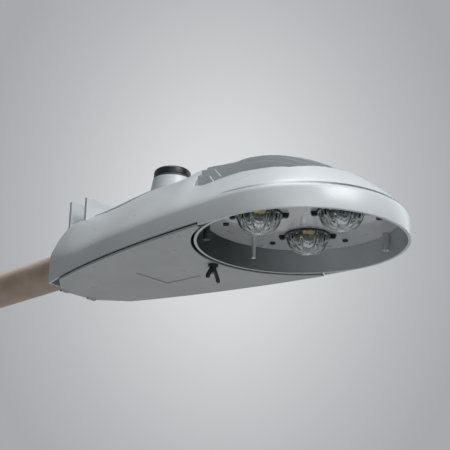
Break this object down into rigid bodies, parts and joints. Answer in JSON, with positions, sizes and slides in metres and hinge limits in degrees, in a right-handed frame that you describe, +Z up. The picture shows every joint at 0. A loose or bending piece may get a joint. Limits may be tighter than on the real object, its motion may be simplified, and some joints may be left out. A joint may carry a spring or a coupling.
{
  "type": "street light",
  "caption": "Cobra-head street light on a steel arm stub: cast housing with finned crown, round optical chamber with glass dome lenses, drop-down access door and top cap.",
  "frame": {"origin": "centre of the cut end face of the arm stub, on the arm's axis", "axes": "+X points out along the light, away from the arm; +Y to the left when looking along +X; +Z up. The bottom rim of the housing is level, and the arm rises towards the light by 2.75 degrees."},
  "size_m": [0.8496, 0.307, 0.2004],
  "materials": {
    "cast_paint": "satin powder coat",
    "door_paint": "satin powder coat",
    "plate_paint": "semi-gloss paint",
    "arm_paint": "weathered paint",
    "black_rubber": "matt",
    "black_plastic": "satin",
    "white_plastic": "satin",
    "grey_plastic": "satin",
    "blue_plastic": "satin",
    "zinc_steel": "zinc plated",
    "dark_steel": "black oxide",
    "sheet_steel": "zinc plated",
    "plain_aluminium": "machined",
    "ceramic": "ceramic board with phosphor",
    "clear_glass": "clear",
    "brass": "plain",
    "dark_lead": "lead insulation",
    "red_lead": "lead insulation",
    "pale_lead": "lead insulation"
  },
  "bodies": {
    "light": {"housing": "cast_paint", "hinge_pins": "zinc_steel", "optical_plate": "plate_paint", "plate_screws": "dark_steel", "emitter_near": "ceramic", "emitter_far": "ceramic", "emitter_front": "ceramic", "holder_near": "black_plastic", "holder_far": "black_plastic", "holder_front": "black_plastic", "lens_near": "clear_glass", "lens_far": "clear_glass", "lens_front": "clear_glass", "lens_ring_near": "black_plastic", "lens_ring_far": "black_plastic", "lens_ring_front": "black_plastic", "lens_screws": "dark_steel", "standoff": "plain_aluminium", "arm_tube": "arm_paint", "arm_seal": "black_rubber", "clamp_rear": "zinc_steel", "clamp_front": "zinc_steel", "clamp_bolts": "zinc_steel", "gear_tray": "sheet_steel", "tray_screws": "zinc_steel", "driver": "white_plastic", "driver_feet_screws": "zinc_steel", "surge_module": "blue_plastic", "terminal_block": "white_plastic", "receptacle": "grey_plastic", "receptacle_gasket": "black_rubber", "receptacle_contacts": "brass", "supply_leads": "dark_lead", "driver_leads": "red_lead", "light_leads": "pale_lead", "lead_bush": "black_rubber"},
    "door_leaf": {"door": "door_paint", "door_gasket": "black_rubber"},
    "latch": {"latch_knob": "black_plastic", "latch_stud": "zinc_steel", "latch_washer": "zinc_steel"},
    "cap": {"top_cap": "black_plastic", "cap_blades": "brass"}
  },
  "joints": [
    {"name": "door_hinge", "type": "hinge", "parent": "light", "child": "door_leaf", "pos_m": [0.22974, 0, -0.0392], "axis": [0, 1, 0], "range_deg": [0, 85]},
    {"name": "latch_turn", "type": "hinge", "parent": "door_leaf", "child": "latch", "pos_m": [0.52874, 0, -0.0392], "axis": [0, 0, 1], "range_deg": [0, 90]},
    {"name": "cap_turn", "type": "hinge", "parent": "light", "child": "cap", "pos_m": [0.43674, 0, 0.11979], "axis": [0, 0, 1], "range_deg": [0, 15]}
  ]
}
